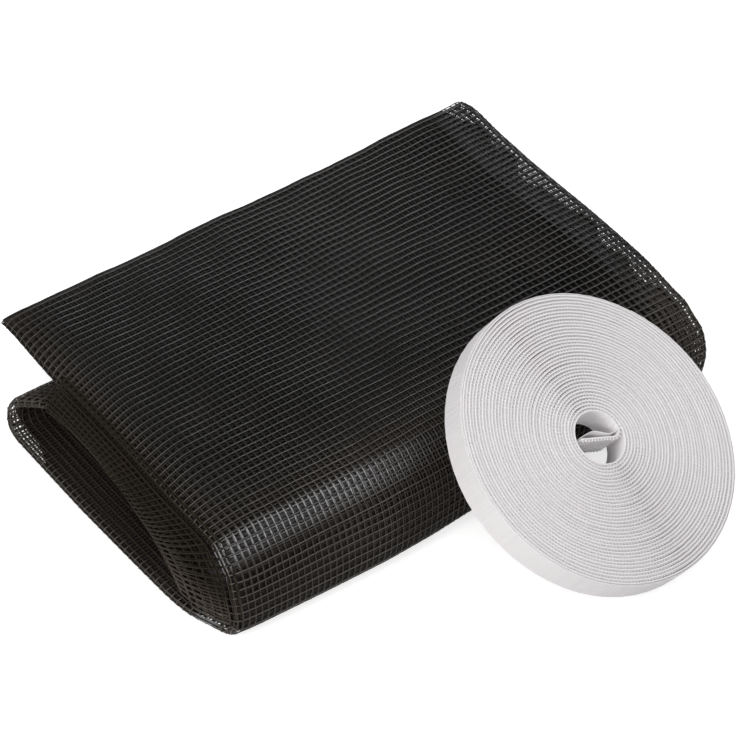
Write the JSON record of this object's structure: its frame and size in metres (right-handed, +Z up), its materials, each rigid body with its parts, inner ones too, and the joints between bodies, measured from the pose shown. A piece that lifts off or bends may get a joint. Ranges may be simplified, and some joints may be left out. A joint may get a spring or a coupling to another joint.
{
  "type": "window insect screen",
  "caption": "Black woven window insect screen folded into a flat bundle, with the roll of white hook tape that fixes it leaning on its front fold.",
  "frame": {"origin": "middle of the flat underside that the folded screen rests on", "axes": "+X along the bundle to its right end, +Y to its back edge, +Z up; the tape roll leans on the front fold, at -Y"},
  "size_m": [0.162, 0.1648, 0.0502],
  "materials": {
    "mesh": "black coated yarn, dull with a faint sheen on the strands",
    "tape": "white moulded hook tape, satin"
  },
  "bodies": {
    "root": {"folded_screen": "mesh", "hook_tape_roll": "tape"}
  },
  "joints": []
}
